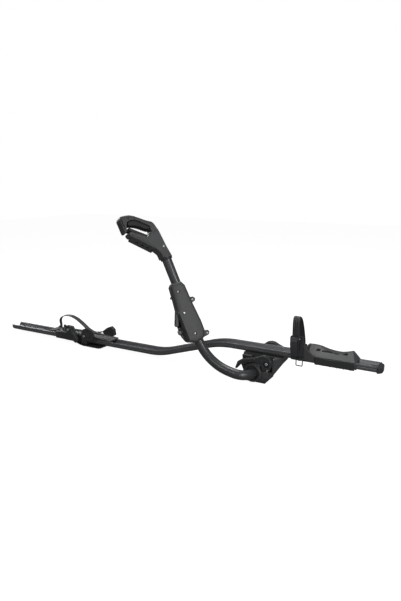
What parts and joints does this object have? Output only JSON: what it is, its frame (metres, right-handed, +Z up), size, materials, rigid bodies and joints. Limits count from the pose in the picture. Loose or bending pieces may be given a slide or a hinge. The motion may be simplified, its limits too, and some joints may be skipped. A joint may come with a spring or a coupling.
{
  "type": "bicycle roof carrier",
  "caption": "Upright roof carrier for a bicycle: a bent wheel rail with strapped wheel cradles, crossbar feet, and a tilting tube arm whose locking claw grips the frame.",
  "frame": {"origin": "on the front foot's underside, under the rail's centre line, where the foot rests on the front crossbar", "axes": "+X along the rail towards the front wheel, +Y across the rail away from the arm, +Z up"},
  "size_m": [1.45, 0.2641, 0.5034],
  "materials": {
    "anodised_rail": "satin anodised, fine lengthwise drawing lines",
    "painted_tube": "satin powder coat",
    "moulded_plastic": "finely grained moulding",
    "dark_plastic": "satin moulding",
    "strap_plastic": "satin elastomer with ribs",
    "rubber": "matt",
    "bright_steel": "zinc-plated, satin",
    "black_steel": "black coated, satin"
  },
  "bodies": {
    "carrier": {"wheel_rail": "anodised_rail", "rail_nose_cap": "dark_plastic", "foot_pad": "rubber", "foot_body": "moulded_plastic", "boss_ring": "moulded_plastic", "pivot_bushing": "dark_plastic", "rail_t_bolt_front": "black_steel", "rail_t_bolt_rear": "black_steel", "cam_detent_pin": "bright_steel", "far_cheek": "moulded_plastic", "cheek_knob": "dark_plastic", "front_cradle": "moulded_plastic", "front_skirt": "dark_plastic", "front_strap": "strap_plastic", "front_strap_anchor": "dark_plastic", "front_buckle_base": "dark_plastic", "front_lever_pin": "bright_steel", "front_pawl": "black_steel"},
    "arm": {"arm_tube": "painted_tube", "housing_front": "moulded_plastic", "housing_rear": "moulded_plastic", "housing_screw_1": "bright_steel", "housing_screw_2": "bright_steel", "housing_screw_3": "bright_steel", "lug_screw_1": "bright_steel", "lug_screw_2": "bright_steel", "lock_bezel": "dark_plastic", "trigger_pin": "bright_steel", "pivot_bolt": "bright_steel", "pivot_washer": "bright_steel", "claw_collar": "dark_plastic"},
    "claw": {"claw_body": "moulded_plastic", "jaw_pad": "rubber", "claw_screw": "bright_steel"},
    "hook": {"claw_hook": "moulded_plastic", "hook_pad": "rubber", "pull_rod": "bright_steel"},
    "trigger": {"trigger": "dark_plastic"},
    "pawl": {"latch_pawl": "black_steel"},
    "lock": {"lock_barrel": "bright_steel"},
    "cam": {"cam_lever": "dark_plastic", "cam_bolt": "bright_steel"},
    "draw_rod": {"draw_rod": "bright_steel"},
    "rear_holder": {"rear_cradle": "moulded_plastic", "rear_strap": "strap_plastic", "rear_strap_grip": "strap_plastic", "rear_strap_guide": "dark_plastic", "rear_guide_screw": "bright_steel", "rear_lug_screw": "bright_steel", "rear_cam_bracket": "moulded_plastic", "rear_cam_bolt": "bright_steel", "rear_tab_pin": "bright_steel"},
    "rear_lever": {"rear_cam_lever": "dark_plastic"},
    "release_tab": {"rear_release_tab": "dark_plastic"},
    "rear_foot": {"rear_clamp_strip": "black_steel", "rear_seat_pad": "rubber", "rear_t_bolt_front": "black_steel", "rear_t_bolt_rear": "black_steel"},
    "front_lever": {"front_buckle_lever": "dark_plastic"},
    "bail": {"front_bail": "black_steel"}
  },
  "joints": [
    {"name": "arm_tilt", "type": "hinge", "parent": "carrier", "child": "arm", "pos_m": [-0.012, 0, 0.031], "axis": [0, 1, 0], "range_deg": [-38, 40]},
    {"name": "claw_swivel", "type": "hinge", "parent": "arm", "child": "claw", "pos_m": [-0.28576, -0.11, 0.37415], "axis": [-0.4198, 0, 0.9076], "range_deg": [-170, 20]},
    {"name": "hook_slide", "type": "slide", "parent": "claw", "child": "hook", "axis": [-0.4198, 0, 0.9076], "range_m": [0, 0.055]},
    {"name": "trigger_press", "type": "hinge", "parent": "arm", "child": "trigger", "pos_m": [-0.23134, -0.13697, 0.20331], "axis": [0.6993, -0.6374, 0.3234], "range_deg": [0, 15], "stiffness_Nm_per_rad": 0.3, "springref_deg": -17.19},
    {"name": "pawl_slide", "type": "slide", "parent": "arm", "child": "pawl", "axis": [-0.5785, -0.7705, -0.2676], "range_m": [0, 0.003]},
    {"name": "lock_turn", "type": "hinge", "parent": "arm", "child": "lock", "pos_m": [-0.21327, -0.14595, 0.15273], "axis": [-0.2441, -0.9632, -0.1129], "range_deg": [0, 90]},
    {"name": "cam_turn", "type": "hinge", "parent": "carrier", "child": "cam", "pos_m": [0.035, 0, 0.067], "axis": [0, 1, 0], "range_deg": [0, 100]},
    {"name": "rod_draw", "type": "slide", "parent": "carrier", "child": "draw_rod", "axis": [0, 0, 1], "range_m": [-0.003, 0]},
    {"name": "rear_holder_slide", "type": "slide", "parent": "carrier", "child": "rear_holder", "axis": [1, 0, 0], "range_m": [-0.15, 0.12]},
    {"name": "rear_lever_turn", "type": "hinge", "parent": "rear_holder", "child": "rear_lever", "pos_m": [-0.761, -0.048, 0.061], "axis": [0, 1, 0], "range_deg": [-90, 0]},
    {"name": "release_tab_press", "type": "hinge", "parent": "rear_holder", "child": "release_tab", "pos_m": [-0.668, -0.0435, 0.042], "axis": [0, 1, 0], "range_deg": [-20, 0], "stiffness_Nm_per_rad": 0.1, "springref_deg": 17.19},
    {"name": "rear_foot_slide", "type": "slide", "parent": "carrier", "child": "rear_foot", "axis": [1, 0, 0], "range_m": [-0.15, 0.15]},
    {"name": "front_lever_turn", "type": "hinge", "parent": "carrier", "child": "front_lever", "pos_m": [0.114, -0.043, 0.1545], "axis": [1, 0, 0], "range_deg": [-110, 0], "stiffness_Nm_per_rad": 0.02, "springref_deg": 34.38},
    {"name": "bail_swing", "type": "hinge", "parent": "carrier", "child": "bail", "pos_m": [0.13, -0.044, 0.0933], "axis": [1, 0, 0], "range_deg": [-120, 15]}
  ],
  "couplings": [
    {"joint": "pawl_slide", "follows": "trigger_press", "m_per_rad": 0.0114},
    {"joint": "rod_draw", "follows": "cam_turn", "m_per_rad": -0.0017}
  ]
}
